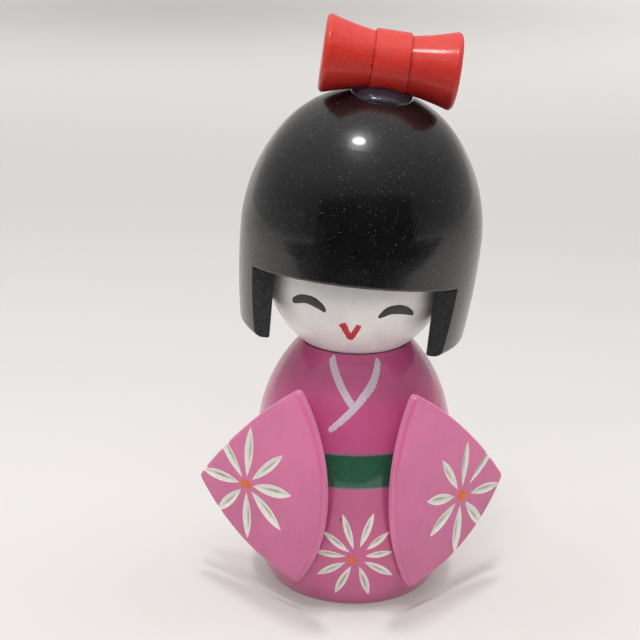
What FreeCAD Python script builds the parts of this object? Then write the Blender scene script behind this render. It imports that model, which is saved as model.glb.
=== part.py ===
"""Lacquered wooden kokeshi doll: a turned body with glued sleeves, and a head that turns on a dowel.

Millimetres. +Z is up, -Y is the doll's front and the origin is the centre of its flat base.
"""
import math
import os

import FreeCAD
import Part
import Sketcher
from FreeCAD import Placement, Rotation, Vector

DIMENSIONS = {
    # Body: a solid of revolution, bounded by three arcs and a dish for the head.
    "belly_radius": 21.0,
    "belly_height": 13.3,
    "skirt_arc_radius": 24.0,
    "flank_arc_radius": 154.7,
    "shoulder_start_height": 33.8,
    "shoulder_arc_radius": 30.9,
    "base_rounding": 0.8,
    # Head ball, and the dowel it turns on.
    "ball_radius": 18.0,
    "ball_height": 65.9,
    "neck_gap": 0.25,
    "dowel_radius": 3.0,
    "dowel_bottom": 36.0,
    "dowel_top": 60.0,
    "dowel_chamfer": 0.5,
    "bore_clearance": 0.05,
    "bore_end_gap": 0.3,
    # Lean of the head: its top goes towards +X by the roll and towards the front by the pitch.
    "head_roll": 4.5,
    "head_pitch": 2.4,
    "head_yaw": -4.0,
    # Hair cap: heights are measured from the ball's centre, along the leaning axis.
    "hair_radius": 23.7,
    "hair_widest_height": 7.5,
    "hair_wall_arc_radius": 140.0,
    "hair_side_arc_radius": 33.1,
    "hair_side_arc_angle": 37.2,
    "hair_rim_drop": 11.9,
    "hair_rim_rounding": 1.3,
    "hair_inner_rounding": 0.45,
    "fringe_rounding": 0.6,
    "hollow_radius": 20.2,
    "hollow_top": 4.0,
    "face_cut_distance": 13.3,
    "fringe_height": 2.0,
    "fringe_slope": 9.0,
    # Bow: one turned spool with a knot in the middle, pegged and glued to the crown.
    "bow_across": 5.3,
    "bow_forward": 2.3,
    "bow_height": 106.7,
    "bow_roll": 7.5,
    "bow_half_length": 12.85,
    "knot_half_length": 3.4,
    "knot_radius": 5.95,
    "flare_root_radius": 5.4,
    "flare_end_radius": 7.65,
    "flare_arc_radius": 52.0,
    "bow_rim_rounding": 0.9,
    "knot_rounding": 0.3,
    "peg_radius": 1.5,
    "peg_top_drop": 2.0,
    "peg_length": 11.0,
    "glue_across": 3.1,
    "glue_forward": 2.35,
    "glue_height": 94.8,
    "glue_ball_radius": 8.4,
    # Sleeves: flat plates with three arched edges, glued to flats on the body. They are sawn
    # by hand, so the two outlines differ a little.
    "sleeve_azimuth": 41.5,
    "sleeve_back_distance": 20.4,
    "sleeve_thickness": 1.8,
    "left_shoulder_across": -4.0,
    "left_shoulder_height": 47.0,
    "left_cuff_across": 23.3,
    "left_cuff_height": 20.9,
    "left_hem_across": -4.4,
    "left_hem_height": 6.1,
    "left_top_arc_radius": 130.0,
    "left_hem_arc_radius": 40.3,
    "left_front_arc_radius": 33.2,
    "right_shoulder_across": -4.4,
    "right_shoulder_height": 46.5,
    "right_cuff_across": 22.0,
    "right_cuff_height": 22.2,
    "right_hem_across": -4.3,
    "right_hem_height": 5.3,
    "right_top_arc_radius": 95.5,
    "right_hem_arc_radius": 31.7,
    "right_front_arc_radius": 42.6,
    "sleeve_corner_radius": 1.2,
    "sleeve_front_rounding": 0.8,
    "sleeve_back_rounding": 0.3,
    # Flowers: petals cut with a V-shaped gouge.
    "gouge_depth": 0.55,
    "gouge_least_depth": 0.2,
    "gouge_deck_lift": 0.2,
    "gouge_broadest_part": 0.58,
    "sleeve_flower_across": 9.35,
    "left_flower_height": 23.1,
    "right_flower_height": 21.2,
    "body_flower_azimuth": 1.1,
    "body_flower_height": 12.7,
}

# Each petal: direction in degrees (0 is away from the doll's middle, 90 is up), distances from
# the flower's centre to the petal's root and tip, and its width.
LEFT_PETALS = [
    (96, 1.4, 13.1, 2.5),
    (137, 1.8, 13.8, 2.1),
    (173, 1.5, 12.5, 2.8),
    (-144, 1.4, 11.9, 2.9),
    (-91, 1.3, 12.0, 2.5),
    (-45, 1.7, 12.0, 2.3),
    (-2, 1.5, 12.6, 2.5),
    (49, 1.4, 11.5, 2.5),
]
RIGHT_PETALS = [
    (84, 1.6, 11.8, 1.9),
    (42, 2.6, 12.5, 1.8),
    (-3, 2.3, 11.4, 2.3),
    (-52, 1.7, 11.5, 2.4),
    (-96, 1.6, 12.6, 2.5),
    (-144, 1.6, 10.8, 2.5),
    (170, 1.7, 10.1, 2.5),
    (122, 1.7, 11.3, 2.0),
]
BODY_PETALS = [
    (107, 1.3, 9.6, 1.6),
    (70, 1.8, 10.0, 1.7),
    (37, 2.2, 8.3, 1.6),
    (4, 1.6, 7.4, 1.6),
    (-33, 1.6, 9.5, 1.8),
    (-72, 1.9, 10.2, 1.8),
    (-115, 1.9, 10.4, 1.8),
    (-148, 2.0, 9.5, 1.7),
    (177, 1.6, 8.8, 1.5),
    (143, 1.3, 8.4, 1.7),
]

# Two places nearer than this are the same, and rings are told apart by this margin, in mm.
NEAR = 0.01
RING_MARGIN = 0.5
# Every cut here takes away more than this, in mm3.
LEAST_CUT = 50.0
# Roughly where the dish meets the shoulder, seen from the ball's centre; the sketch finds it exactly.
DISH_RIM_SLOPE = math.radians(-53)

doc = FreeCAD.newDocument("kokeshi_doll")
sheet = doc.addObject("Spreadsheet::Sheet", "Dimensions")
for row, (name, value) in enumerate(DIMENSIONS.items(), start=1):
    sheet.set(f"A{row}", name)
    sheet.set(f"B{row}", str(value))
    sheet.setAlias(f"B{row}", name)
doc.recompute()


# ---------------------------------------------------------------- sketch helpers
def dim(name):
    """The number in one of the sheet's cells."""
    return float(sheet.get(name))


def cell(name):
    return f"Dimensions.{name}"


def add_body(label, placement=None):
    body = doc.addObject("PartDesign::Body", label + "_body")
    body.Label = label
    if placement:
        body.setExpression("Placement", placement)
    return body


def add_sketch(body, name, role):
    """A sketch on one of the body's own origin planes."""
    sketch = body.newObject("Sketcher::SketchObject", name)
    plane = next(f for f in body.Origin.OriginFeatures if f.Role == role)
    sketch.AttachmentSupport = (plane, [""])
    sketch.MapMode = "FlatFace"
    return sketch


def line(sketch, start, end):
    return sketch.addGeometry(Part.LineSegment(Vector(*start, 0), Vector(*end, 0)))


def arc(sketch, centre, start, end):
    """A counter-clockwise arc from start to end."""
    centre, start, end = (Vector(*point, 0) for point in (centre, start, end))
    angles = [math.atan2(p.y - centre.y, p.x - centre.x) for p in (start, end)]
    circle = Part.Circle(centre, Vector(0, 0, 1), (start - centre).Length)
    return sketch.addGeometry(Part.ArcOfCircle(circle, *angles))


def relate(sketch, kind, *references):
    sketch.addConstraint(Sketcher.Constraint(kind, *references))


def measure(sketch, kind, *references, to):
    """A dimension whose value follows an expression over the sheet."""
    value = float(sketch.evalExpression(to))
    index = sketch.addConstraint(Sketcher.Constraint(kind, *references, value))
    sketch.setExpression(f"Constraints[{index}]", to)


def join(sketch, chain):
    """Coincident ends along a chain of (edge, end, next edge, its end)."""
    for first, first_end, second, second_end in chain:
        relate(sketch, "Coincident", first, first_end, second, second_end)


START, END, CENTRE = 1, 2, 3
ORIGIN = (-1, 1)
X_AXIS, Y_AXIS = -1, -2


def revolve(body, sketch, axis):
    turned = body.newObject("PartDesign::Revolution", "Turned")
    turned.Profile = sketch
    turned.ReferenceAxis = (sketch, [axis])
    turned.Angle = 360
    doc.recompute()
    return turned


def round_edges(body, base, radius, wanted):
    """Fillet the base feature's edges that the wanted function picks."""
    names = [f"Edge{i}" for i, edge in enumerate(base.Shape.Edges, start=1) if wanted(edge)]
    fillet = body.newObject("PartDesign::Fillet", "Rounding")
    fillet.Base = (base, names)
    fillet.setExpression("Radius", cell(radius))
    doc.recompute()
    return fillet


def circle_of(edge):
    """The edge's circle, or None for an edge of another kind."""
    if edge.Degenerated or not isinstance(edge.Curve, Part.Circle):
        return None
    return edge.Curve


def is_ring(edge, height, least_radius):
    """Whether the edge is a circle about Z at this height, at least this large."""
    circle = circle_of(edge)
    return circle is not None and abs(circle.Center.z - height) < NEAR and circle.Radius > least_radius


# ---------------------------------------------------------------- gouged petals
def gouge_cutter(length, width, depth, arch=0.0):
    """A boat-shaped solid along +X with a V section, that cuts a pointed petal.

    The cut surface passes through the petal's ends at z = 0 and rises to z = arch at its middle,
    where the petal has its full width. The keel lies at this depth below z = 0, and the deck
    a little above the surface.
    """
    lift = arch + dim("gouge_deck_lift")
    rise = depth + lift
    deck_length = length / math.sqrt(depth / rise)
    deck_width = width * rise / (depth + arch)
    start = (length - deck_length) / 2
    end = start + deck_length
    bend = start + dim("gouge_broadest_part") * deck_length

    def bow_shaped(across, drop):
        curve = Part.BezierCurve()
        curve.setPoles([Vector(start, 0, lift), Vector(bend, across, lift - drop), Vector(end, 0, lift)])
        return curve.toShape()

    port = bow_shaped(deck_width, 0)
    starboard = bow_shaped(-deck_width, 0)
    keel = bow_shaped(0, 2 * rise)
    deck = Part.Face(Part.Wire([port, starboard]))
    sides = [Part.makeRuledSurface(edge, keel) for edge in (port, starboard)]
    return Part.makeSolid(Part.makeShell(sides + [deck]))


def add_cutters(name, solids):
    """One feature that holds all the cutters of a flower."""
    flower = doc.addObject("Part::Feature", name)
    flower.Shape = Part.makeCompound(solids)
    return flower


def flat_petals(petals, side, across, height, face_distance):
    """Cutters for a flower on a vertical face that looks along -Y at this distance."""
    solids = []
    for direction, root, tip, width in petals:
        angle = direction if side > 0 else 180 - direction
        cutter = gouge_cutter(tip - root, width, dim("gouge_depth"))
        heading = Rotation(Vector(0, 1, 0), -angle)
        facing = Rotation(Vector(1, 0, 0), 90)
        step = heading.multVec(Vector(root, 0, 0))
        centre = Vector(side * across, -face_distance, height)
        cutter.Placement = Placement(centre + step, heading * facing)
        solids.append(cutter)
    return solids


def body_radius(height):
    """The body's radius at a height below its shoulder arc."""
    above = height - dim("belly_height")
    arc_radius = dim("flank_arc_radius") if above > 0 else dim("skirt_arc_radius")
    return dim("belly_radius") - arc_radius + math.sqrt(arc_radius ** 2 - above ** 2)


def on_body(azimuth, height):
    """A point of the body's surface; azimuth is in radians from the front towards +X."""
    radius = body_radius(height)
    return Vector(radius * math.sin(azimuth), -radius * math.cos(azimuth), height)


def body_petals(petals):
    """Cutters for the flower that wraps round the body's front."""
    solids = []
    centre_azimuth = math.radians(dim("body_flower_azimuth"))
    for direction, root, tip, width in petals:
        slope = math.radians(direction)

        def along(distance):
            azimuth = centre_azimuth + distance * math.cos(slope) / dim("belly_radius")
            return on_body(azimuth, dim("body_flower_height") + distance * math.sin(slope))

        first, last, middle = along(root), along(tip), along((root + tip) / 2)
        heading = (last - first).normalize()
        bulge = middle - (first + last) * 0.5
        outward = Vector(middle.x, middle.y, 0)
        outward = (outward - heading * outward.dot(heading)).normalize()
        sideways = outward.cross(heading)
        arch = bulge.dot(outward)
        depth = max(dim("gouge_depth") - arch, dim("gouge_least_depth"))
        cutter = gouge_cutter((last - first).Length, width, depth, arch)
        cutter.Placement = Placement(first, Rotation(heading, sideways, outward, "ZXY"))
        solids.append(cutter)
    return solids


# ---------------------------------------------------------------- body
def draw_body_profile(sketch):
    belly = (dim("belly_radius"), dim("belly_height"))
    skirt_centre = (belly[0] - dim("skirt_arc_radius"), belly[1])
    flank_centre = (belly[0] - dim("flank_arc_radius"), belly[1])
    rounding = dim("base_rounding")
    foot_centre = (skirt_centre[0] + math.sqrt((dim("skirt_arc_radius") - rounding) ** 2
                                               - (belly[1] - rounding) ** 2), rounding)
    foot_edge = (foot_centre[0], 0)
    skirt_edge = (body_radius(rounding), rounding / 2)
    turn = math.asin((dim("shoulder_start_height") - belly[1]) / dim("flank_arc_radius"))
    shoulder = (body_radius(dim("shoulder_start_height")), dim("shoulder_start_height"))
    shoulder_centre = (
        shoulder[0] - dim("shoulder_arc_radius") * math.cos(turn),
        shoulder[1] - dim("shoulder_arc_radius") * math.sin(turn),
    )
    dish = dim("ball_radius") + dim("neck_gap")
    ring = (dish * math.cos(DISH_RIM_SLOPE), dim("ball_height") + dish * math.sin(DISH_RIM_SLOPE))
    dish_low = (dim("dowel_radius"), dim("ball_height") - math.sqrt(dish ** 2 - dim("dowel_radius") ** 2))
    bore_floor = (dim("dowel_radius"), dim("dowel_bottom"))

    base = line(sketch, (0, 0), foot_edge)
    foot = arc(sketch, foot_centre, foot_edge, skirt_edge)
    skirt = arc(sketch, skirt_centre, skirt_edge, belly)
    flank = arc(sketch, flank_centre, belly, shoulder)
    round_top = arc(sketch, shoulder_centre, shoulder, ring)
    seat = arc(sketch, (0, dim("ball_height")), dish_low, ring)
    bore = line(sketch, dish_low, bore_floor)
    floor = line(sketch, bore_floor, (0, bore_floor[1]))
    axis = line(sketch, (0, bore_floor[1]), (0, 0))

    join(sketch, [(base, START, *ORIGIN), (skirt, END, flank, START),
                  (round_top, END, seat, END), (seat, START, bore, START), (bore, END, floor, START),
                  (floor, END, axis, START), (axis, END, *ORIGIN)])
    relate(sketch, "Tangent", base, END, foot, START)
    relate(sketch, "Tangent", foot, END, skirt, START)
    relate(sketch, "Tangent", flank, END, round_top, START)
    relate(sketch, "Horizontal", base)
    relate(sketch, "Vertical", bore)
    relate(sketch, "Horizontal", floor)
    relate(sketch, "PointOnObject", floor, END, Y_AXIS)
    relate(sketch, "PointOnObject", seat, CENTRE, Y_AXIS)
    measure(sketch, "DistanceX", skirt, END, to=cell("belly_radius"))
    measure(sketch, "DistanceY", skirt, END, to=cell("belly_height"))
    measure(sketch, "DistanceY", skirt, CENTRE, to=cell("belly_height"))
    measure(sketch, "DistanceY", flank, CENTRE, to=cell("belly_height"))
    measure(sketch, "DistanceY", flank, END, to=cell("shoulder_start_height"))
    measure(sketch, "DistanceY", seat, CENTRE, to=cell("ball_height"))
    measure(sketch, "DistanceX", bore, START, to=cell("dowel_radius"))
    measure(sketch, "DistanceY", bore, END, to=cell("dowel_bottom"))
    measure(sketch, "Radius", foot, to=cell("base_rounding"))
    measure(sketch, "Radius", skirt, to=cell("skirt_arc_radius"))
    measure(sketch, "Radius", flank, to=cell("flank_arc_radius"))
    measure(sketch, "Radius", round_top, to=cell("shoulder_arc_radius"))
    measure(sketch, "Radius", seat, to=f"{cell('ball_radius')} + {cell('neck_gap')}")


def add_flat_cutter(side):
    """A box whose back face planes a flat on the body's flank, for a sleeve to be glued to."""
    box = doc.addObject("Part::Box", "sleeve_flat")
    box.setExpression("Length", f"2 * {cell('belly_radius')}")
    box.setExpression("Width", cell("belly_radius"))
    box.setExpression("Height", cell("ball_height"))
    box.setExpression("Placement", (
        f"placement(vector(0; 0; 0); rotation(vector(0; 0; 1); {side} * {cell('sleeve_azimuth')}))"
        f" * placement(vector(-{cell('belly_radius')}; -{cell('sleeve_back_distance')}"
        f" - {cell('belly_radius')}; 0); rotation(vector(0; 0; 1); 0))"))
    return box


def make_body():
    turned_body = add_body("turned_body")
    sketch = add_sketch(turned_body, "BodyProfile", "XZ_Plane")
    draw_body_profile(sketch)
    revolve(turned_body, sketch, "V_Axis")
    planed = doc.addObject("Part::Cut", "planed_body")
    planed.Base = turned_body
    flats = doc.addObject("Part::MultiFuse", "sleeve_flats")
    flats.Shapes = [add_flat_cutter(side) for side in (-1, 1)]
    planed.Tool = flats
    doc.recompute()
    removed = turned_body.Shape.Volume - planed.Shape.Volume
    assert removed > LEAST_CUT, "the sleeves' flats cut nothing"
    body = doc.addObject("Part::Cut", "body")
    body.Base = planed
    body.Tool = add_cutters("body_flower", body_petals(BODY_PETALS))
    return body


# ---------------------------------------------------------------- neck dowel
def make_neck_dowel():
    dowel = add_body("neck_dowel")
    sketch = add_sketch(dowel, "DowelCircle", "XY_Plane")
    sketch.setExpression("AttachmentOffset.Base.z", cell("dowel_bottom"))
    circle = sketch.addGeometry(Part.Circle(Vector(0, 0, 0), Vector(0, 0, 1), dim("dowel_radius")))
    relate(sketch, "Coincident", circle, CENTRE, *ORIGIN)
    measure(sketch, "Radius", circle, to=cell("dowel_radius"))
    pad = dowel.newObject("PartDesign::Pad", "DowelLength")
    pad.Profile = sketch
    pad.setExpression("Length", f"{cell('dowel_top')} - {cell('dowel_bottom')}")
    doc.recompute()
    chamfer = dowel.newObject("PartDesign::Chamfer", "DowelChamfer")
    names = [f"Edge{i}" for i, edge in enumerate(pad.Shape.Edges, start=1) if circle_of(edge)]
    chamfer.Base = (pad, names)
    chamfer.setExpression("Size", cell("dowel_chamfer"))
    return dowel


# ---------------------------------------------------------------- head ball
def make_head_ball():
    centre = f"placement(vector(0; 0; {cell('ball_height')}); rotation(vector(0; 0; 1); 0))"
    ball = add_body("head_ball", centre)
    sketch = add_sketch(ball, "BallProfile", "XZ_Plane")
    radius = dim("ball_radius")
    bore = dim("dowel_radius") + dim("bore_clearance")
    roof = dim("dowel_top") + dim("bore_end_gap") - dim("ball_height")
    mouth = (bore, -math.sqrt(radius ** 2 - bore ** 2))
    outside = arc(sketch, (0, 0), mouth, (0, radius))
    axis = line(sketch, (0, radius), (0, roof))
    bore_roof = line(sketch, (0, roof), (bore, roof))
    bore_wall = line(sketch, (bore, roof), mouth)
    join(sketch, [(outside, CENTRE, *ORIGIN), (outside, END, axis, START), (axis, END, bore_roof, START),
                  (bore_roof, END, bore_wall, START), (bore_wall, END, outside, START)])
    relate(sketch, "PointOnObject", outside, END, Y_AXIS)
    relate(sketch, "PointOnObject", axis, END, Y_AXIS)
    relate(sketch, "Horizontal", bore_roof)
    relate(sketch, "Vertical", bore_wall)
    measure(sketch, "Radius", outside, to=cell("ball_radius"))
    measure(sketch, "DistanceX", bore_wall, START, to=f"{cell('dowel_radius')} + {cell('bore_clearance')}")
    measure(sketch, "DistanceY", bore_wall, START,
            to=f"{cell('dowel_top')} + {cell('bore_end_gap')} - {cell('ball_height')}")
    revolve(ball, sketch, "V_Axis")
    return ball


# ---------------------------------------------------------------- hair cap
HEAD_PLACEMENT = (
    f"placement(vector(0; 0; {cell('ball_height')}); rotation(vector(0; 1; 0); {cell('head_roll')})"
    f" * rotation(vector(1; 0; 0); {cell('head_pitch')}) * rotation(vector(0; 0; 1); {cell('head_yaw')}))"
)


def draw_hair_profile(sketch):
    radius, widest, rim = dim("hair_radius"), dim("hair_widest_height"), -dim("hair_rim_drop")
    wall, side = dim("hair_wall_arc_radius"), dim("hair_side_arc_radius")
    turn = math.radians(dim("hair_side_arc_angle"))
    broadest = (radius, widest)
    wall_centre = (radius - wall, widest)
    side_centre = (radius - side, widest)
    rim_edge = (wall_centre[0] + math.sqrt(wall ** 2 - (widest - rim) ** 2), rim)
    crown_edge = (side_centre[0] + side * math.cos(turn), widest + side * math.sin(turn))
    crown_radius = crown_edge[0] / math.cos(turn)
    crown_centre = (0, crown_edge[1] - crown_edge[0] * math.tan(turn))
    top = (0, crown_centre[1] + crown_radius)
    hollow, hollow_top, ball = dim("hollow_radius"), dim("hollow_top"), dim("ball_radius")
    step = (math.sqrt(ball ** 2 - hollow_top ** 2), hollow_top)

    outer_wall = arc(sketch, wall_centre, rim_edge, broadest)
    outer_side = arc(sketch, side_centre, broadest, crown_edge)
    crown = arc(sketch, crown_centre, crown_edge, top)
    axis = line(sketch, top, (0, ball))
    seat = arc(sketch, (0, 0), step, (0, ball))
    shoulder = line(sketch, step, (hollow, hollow_top))
    inner_wall = line(sketch, (hollow, hollow_top), (hollow, rim))
    rim_face = line(sketch, (hollow, rim), rim_edge)

    join(sketch, [(outer_wall, END, outer_side, START), (crown, END, axis, START), (axis, END, seat, END),
                  (seat, START, shoulder, START), (shoulder, END, inner_wall, START),
                  (inner_wall, END, rim_face, START), (rim_face, END, outer_wall, START),
                  (seat, CENTRE, *ORIGIN)])
    relate(sketch, "Tangent", outer_side, END, crown, START)
    relate(sketch, "PointOnObject", crown, CENTRE, Y_AXIS)
    relate(sketch, "PointOnObject", crown, END, Y_AXIS)
    relate(sketch, "PointOnObject", seat, END, Y_AXIS)
    relate(sketch, "Horizontal", shoulder)
    relate(sketch, "Vertical", inner_wall)
    relate(sketch, "Horizontal", rim_face)
    measure(sketch, "DistanceX", outer_wall, END, to=cell("hair_radius"))
    measure(sketch, "DistanceY", outer_wall, END, to=cell("hair_widest_height"))
    measure(sketch, "DistanceY", outer_wall, CENTRE, to=cell("hair_widest_height"))
    measure(sketch, "DistanceY", outer_side, CENTRE, to=cell("hair_widest_height"))
    measure(sketch, "DistanceY", outer_side, END, to=(
        f"{cell('hair_widest_height')} + {cell('hair_side_arc_radius')}"
        f" * sin({cell('hair_side_arc_angle')} * 1 deg)"))
    measure(sketch, "DistanceX", inner_wall, START, to=cell("hollow_radius"))
    measure(sketch, "DistanceY", inner_wall, START, to=cell("hollow_top"))
    measure(sketch, "DistanceY", inner_wall, END, to=f"-{cell('hair_rim_drop')}")
    measure(sketch, "Radius", outer_wall, to=cell("hair_wall_arc_radius"))
    measure(sketch, "Radius", outer_side, to=cell("hair_side_arc_radius"))
    measure(sketch, "Radius", seat, to=cell("ball_radius"))


def cut_face_opening(hair):
    """Saw away the hair in front of an upright plane, up to the fringe's sloping underside."""
    sketch = add_sketch(hair, "FaceOpening", "YZ_Plane")
    near, far = -dim("face_cut_distance"), -dim("face_cut_distance") - dim("ball_radius")
    low, fringe = -dim("ball_radius"), dim("fringe_height")
    fringe_end = fringe + dim("ball_radius") * math.tan(math.radians(dim("fringe_slope")))
    corners = [(near, low), (near, fringe), (far, fringe_end), (far, low)]
    edges = [line(sketch, corners[i], corners[(i + 1) % 4]) for i in range(4)]
    join(sketch, [(edges[i], END, edges[(i + 1) % 4], START) for i in range(4)])
    relate(sketch, "Vertical", edges[0])
    relate(sketch, "Vertical", edges[2])
    relate(sketch, "Horizontal", edges[3])
    measure(sketch, "DistanceX", edges[0], START, to=f"-{cell('face_cut_distance')}")
    measure(sketch, "DistanceY", edges[0], START, to=f"-{cell('ball_radius')}")
    measure(sketch, "DistanceY", edges[0], END, to=cell("fringe_height"))
    measure(sketch, "DistanceX", edges[2], START, to=f"-{cell('face_cut_distance')} - {cell('ball_radius')}")
    measure(sketch, "DistanceY", edges[2], START, to=(
        f"{cell('fringe_height')} + {cell('ball_radius')} * tan({cell('fringe_slope')} * 1 deg)"))
    pocket = hair.newObject("PartDesign::Pocket", "FaceCut")
    pocket.Profile = sketch
    pocket.SideType = "Symmetric"
    pocket.setExpression("Length", f"4 * {cell('hair_radius')}")
    doc.recompute()
    return pocket


def borders_fringe(edge):
    """Whether the edge lies on the hair's outside and on the fringe's sawn underside."""
    for fraction in (0, 0.5, 1):
        point = edge.valueAt(edge.FirstParameter + fraction * (edge.LastParameter - edge.FirstParameter))
        ahead = -point.y - dim("face_cut_distance")
        underside = dim("fringe_height") + ahead * math.tan(math.radians(dim("fringe_slope")))
        outside = math.hypot(point.x, point.y) > dim("hollow_radius") + RING_MARGIN
        if not outside or ahead < -NEAR or abs(point.z - underside) > NEAR:
            return False
    return True


def make_hair_cap(bow, bow_peg):
    turned_hair = add_body("turned_hair", HEAD_PLACEMENT)
    sketch = add_sketch(turned_hair, "HairProfile", "XZ_Plane")
    draw_hair_profile(sketch)
    turned = revolve(turned_hair, sketch, "V_Axis")
    outer_rim = round_edges(turned_hair, turned, "hair_rim_rounding",
                            lambda e: is_ring(e, -dim("hair_rim_drop"), dim("hollow_radius") + RING_MARGIN))
    round_edges(turned_hair, outer_rim, "hair_inner_rounding",
                lambda e: is_ring(e, -dim("hair_rim_drop"), dim("hollow_radius") - RING_MARGIN)
                and not is_ring(e, -dim("hair_rim_drop"), dim("hollow_radius") + RING_MARGIN))
    whole = turned_hair.Shape.Volume
    opened = cut_face_opening(turned_hair)
    round_edges(turned_hair, opened, "fringe_rounding", borders_fringe)
    assert turned_hair.Shape.Volume < whole - LEAST_CUT, "the face opening cuts nothing"
    seated = doc.addObject("Part::MultiFuse", "pegged_bow")
    seated.Shapes = [bow, bow_peg]
    hair = doc.addObject("Part::Cut", "hair_cap")
    hair.Base = turned_hair
    hair.Tool = seated
    return hair


# ---------------------------------------------------------------- bow, its peg and its glue
BOW_PLACEMENT = (
    f"placement(vector({cell('bow_across')}; -{cell('bow_forward')}; {cell('bow_height')});"
    f" rotation(vector(0; 1; 0); {cell('bow_roll')}))"
)


def flare_centre(side):
    """The centre of a flare's concave outline, above the chord from its root to its end."""
    root = Vector(side * dim("knot_half_length"), dim("flare_root_radius"), 0)
    end = Vector(side * dim("bow_half_length"), dim("flare_end_radius"), 0)
    chord = end - root
    outward = Vector(-side * chord.y, side * chord.x, 0).normalize()
    centre = (root + end) * 0.5 + outward * math.sqrt(dim("flare_arc_radius") ** 2 - chord.Length ** 2 / 4)
    return (centre.x, centre.y)


def draw_bow_profile(sketch):
    half, knot = dim("bow_half_length"), dim("knot_half_length")
    root, end, knot_radius = dim("flare_root_radius"), dim("flare_end_radius"), dim("knot_radius")
    right_cap = line(sketch, (half, 0), (half, end))
    right_flare = arc(sketch, flare_centre(1), (knot, root), (half, end))
    right_step = line(sketch, (knot, root), (knot, knot_radius))
    drum = line(sketch, (knot, knot_radius), (-knot, knot_radius))
    left_step = line(sketch, (-knot, knot_radius), (-knot, root))
    left_flare = arc(sketch, flare_centre(-1), (-half, end), (-knot, root))
    left_cap = line(sketch, (-half, end), (-half, 0))
    axis = line(sketch, (-half, 0), (half, 0))
    join(sketch, [(right_cap, END, right_flare, END), (right_flare, START, right_step, START),
                  (right_step, END, drum, START), (drum, END, left_step, START),
                  (left_step, END, left_flare, END), (left_flare, START, left_cap, START),
                  (left_cap, END, axis, START), (axis, END, right_cap, START)])
    for upright in (right_cap, right_step, left_step, left_cap):
        relate(sketch, "Vertical", upright)
    relate(sketch, "Horizontal", drum)
    relate(sketch, "PointOnObject", axis, START, X_AXIS)
    relate(sketch, "PointOnObject", axis, END, X_AXIS)
    for cap, step, flare, flare_root, flare_end, sign in (
            (right_cap, right_step, right_flare, START, END, ""),
            (left_cap, left_step, left_flare, END, START, "-")):
        measure(sketch, "DistanceX", cap, START, to=f"{sign}{cell('bow_half_length')}")
        measure(sketch, "DistanceX", step, START, to=f"{sign}{cell('knot_half_length')}")
        measure(sketch, "DistanceY", flare, flare_root, to=cell("flare_root_radius"))
        measure(sketch, "DistanceY", flare, flare_end, to=cell("flare_end_radius"))
        measure(sketch, "Radius", flare, to=cell("flare_arc_radius"))
    measure(sketch, "DistanceY", drum, START, to=cell("knot_radius"))


def make_bow_peg():
    peg = add_body("bow_peg", BOW_PLACEMENT)
    sketch = add_sketch(peg, "PegCircle", "XY_Plane")
    sketch.setExpression("AttachmentOffset.Base.z", f"-{cell('peg_top_drop')}")
    circle = sketch.addGeometry(Part.Circle(Vector(0, 0, 0), Vector(0, 0, 1), dim("peg_radius")))
    relate(sketch, "Coincident", circle, CENTRE, *ORIGIN)
    measure(sketch, "Radius", circle, to=cell("peg_radius"))
    pad = peg.newObject("PartDesign::Pad", "PegLength")
    pad.Profile = sketch
    pad.Reversed = True
    pad.setExpression("Length", cell("peg_length"))
    doc.recompute()
    return peg


def make_bow(bow_peg):
    turned_bow = add_body("turned_bow", BOW_PLACEMENT)
    sketch = add_sketch(turned_bow, "BowProfile", "XZ_Plane")
    draw_bow_profile(sketch)
    turned = revolve(turned_bow, sketch, "H_Axis")

    def is_step(edge, distance, radius):
        circle = circle_of(edge)
        return (circle is not None and abs(abs(circle.Center.x) - distance) < NEAR
                and abs(circle.Radius - radius) < NEAR)

    rims = round_edges(turned_bow, turned, "bow_rim_rounding",
                       lambda e: is_step(e, dim("bow_half_length"), dim("flare_end_radius")))
    round_edges(turned_bow, rims, "knot_rounding",
                lambda e: is_step(e, dim("knot_half_length"), dim("knot_radius")))
    bow = doc.addObject("Part::Cut", "bow")
    bow.Base = turned_bow
    bow.Tool = bow_peg
    return bow


def make_bow_glue(neighbours):
    """The drop of clear glue that fills the corner between the knot and the crown."""
    drop = doc.addObject("Part::Sphere", "glue_drop")
    drop.setExpression("Radius", cell("glue_ball_radius"))
    drop.setExpression("Placement", (
        f"placement(vector({cell('glue_across')}; -{cell('glue_forward')}; {cell('glue_height')});"
        f" rotation(vector(0; 1; 0); 0))"))
    around = doc.addObject("Part::MultiFuse", "glue_surroundings")
    around.Shapes = neighbours
    glue = doc.addObject("Part::Cut", "bow_glue")
    glue.Base = drop
    glue.Tool = around
    return glue


# ---------------------------------------------------------------- sleeves
def outline_arc(sketch, start, end, radius):
    """A counter-clockwise edge of the sleeve, arched outwards."""
    start, end = Vector(*start, 0), Vector(*end, 0)
    chord = end - start
    inward = Vector(-chord.y, chord.x, 0).normalize()
    centre = (start + end) * 0.5 + inward * math.sqrt(radius ** 2 - chord.Length ** 2 / 4)
    return arc(sketch, (centre.x, centre.y), (start.x, start.y), (end.x, end.y))


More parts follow.
